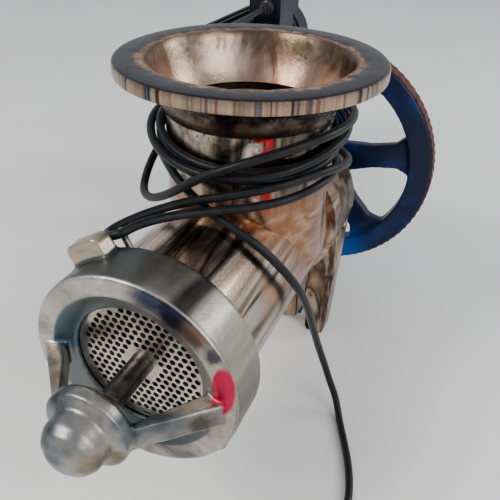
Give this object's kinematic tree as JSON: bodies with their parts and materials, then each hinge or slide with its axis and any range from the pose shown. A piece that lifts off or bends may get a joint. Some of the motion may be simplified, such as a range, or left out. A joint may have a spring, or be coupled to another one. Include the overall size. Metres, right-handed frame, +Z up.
{
  "type": "electric meat grinder",
  "caption": "Belt-driven meat grinder with a round hopper, perforated plate under a screw ring, spoked pulley wheel and a motor on a stand.",
  "frame": {"origin": "on the floor plane, on the base plate's underside, directly below the shaft axis at the pedestal", "axes": "+Z up; the shaft axis runs along Y at x = 0, with the perforated plate facing -Y and the motor towards +Y"},
  "size_m": [0.434, 0.768, 0.3239],
  "materials": {
    "body_steel": "polished stainless steel",
    "hopper_steel": "satin stainless steel with tarnish",
    "ring_steel": "satin stainless steel",
    "plate_steel": "ground steel",
    "tool_steel": "hardened steel",
    "shaft_steel": "turned steel",
    "bearing_steel": "polished bearing steel",
    "wheel_paint": "blue enamel",
    "motor_paint": "navy enamel",
    "stand_paint": "dark grey enamel",
    "leg_steel": "polished cast steel",
    "fastener_steel": "zinc plated",
    "belt_rubber": "cogged rubber",
    "seal_rubber": "moulded rubber",
    "core_iron": "laminated iron",
    "aluminium": "die cast",
    "black_plastic": "moulded",
    "cord_pvc": "black PVC sheath",
    "brass": "plain"
  },
  "bodies": {
    "frame": {"grinder_body": "body_steel", "hopper_bowl": "hopper_steel", "lock_stud": "ring_steel", "plate_key": "tool_steel", "perforated_plate": "plate_steel", "rear_housing": "leg_steel", "housing_bolts": "fastener_steel", "bearing_cap": "leg_steel", "cap_screws": "fastener_steel", "shaft_seal": "seal_rubber", "v_belt": "belt_rubber", "pedestal": "leg_steel", "pedestal_bolts": "fastener_steel", "base_plate": "stand_paint", "motor_stand": "stand_paint", "motor_casing": "motor_paint", "motor_bolts": "fastener_steel", "front_end_bell": "motor_paint", "rear_end_bell": "motor_paint", "fan_cowl": "motor_paint", "stator_core": "core_iron", "terminal_box": "motor_paint", "terminal_lid": "motor_paint", "toggle_switch": "black_plastic", "cable_gland": "black_plastic", "cord_lead": "cord_pvc", "cord_winding": "cord_pvc", "cord_front_loop": "cord_pvc", "cord_tail": "cord_pvc", "cord_coil": "cord_pvc", "coil_tie": "black_plastic", "plug_body": "black_plastic", "plug_pins": "brass", "front_bearing_outer_race": "bearing_steel", "front_bearing_balls": "bearing_steel", "rear_bearing_outer_race": "bearing_steel", "rear_bearing_balls": "bearing_steel", "motor_front_bearing_outer_race": "bearing_steel", "motor_rear_bearing_outer_race": "bearing_steel"},
    "shaft": {"worm_screw": "tool_steel", "cutting_knife": "tool_steel", "drive_shaft": "shaft_steel", "wheel_key": "shaft_steel", "pulley_wheel": "wheel_paint", "shaft_washer": "fastener_steel", "shaft_nut": "fastener_steel", "bearing_spacer": "shaft_steel", "front_bearing_inner_race": "bearing_steel", "rear_bearing_inner_race": "bearing_steel"},
    "rotor": {"motor_shaft": "shaft_steel", "motor_key": "shaft_steel", "rotor_core": "core_iron", "cooling_fan": "black_plastic", "motor_pulley": "wheel_paint", "motor_front_bearing_inner_race": "bearing_steel", "motor_rear_bearing_inner_race": "bearing_steel"},
    "washer": {"slip_washer": "ring_steel"},
    "ring": {"ring_nut": "ring_steel", "nose_bridge": "ring_steel"},
    "switch_lever": {"toggle_lever": "fastener_steel"}
  },
  "joints": [
    {"name": "shaft_spin", "type": "hinge", "parent": "frame", "child": "shaft", "pos_m": [0, -0.145, 0.165], "axis": [0, 1, 0], "continuous": true},
    {"name": "motor_spin", "type": "hinge", "parent": "frame", "child": "rotor", "pos_m": [-0.16, 0.155, 0.223], "axis": [0, 1, 0], "continuous": true},
    {"name": "washer_draw", "type": "slide", "parent": "frame", "child": "washer", "axis": [0, -1, 0], "range_m": [0, 0.032]},
    {"name": "ring_turn", "type": "hinge", "parent": "washer", "child": "ring", "pos_m": [0, -0.31, 0.165], "axis": [0, -1, 0], "range_deg": [0, 2880]},
    {"name": "switch_toggle", "type": "hinge", "parent": "frame", "child": "switch_lever", "pos_m": [-0.121, 0.226, 0.306], "axis": [1, 0, 0], "range_deg": [-28, 0]}
  ],
  "couplings": [
    {"joint": "motor_spin", "follows": "shaft_spin", "ratio": 4.4107},
    {"joint": "washer_draw", "follows": "ring_turn", "m_per_rad": 0.00063662}
  ]
}
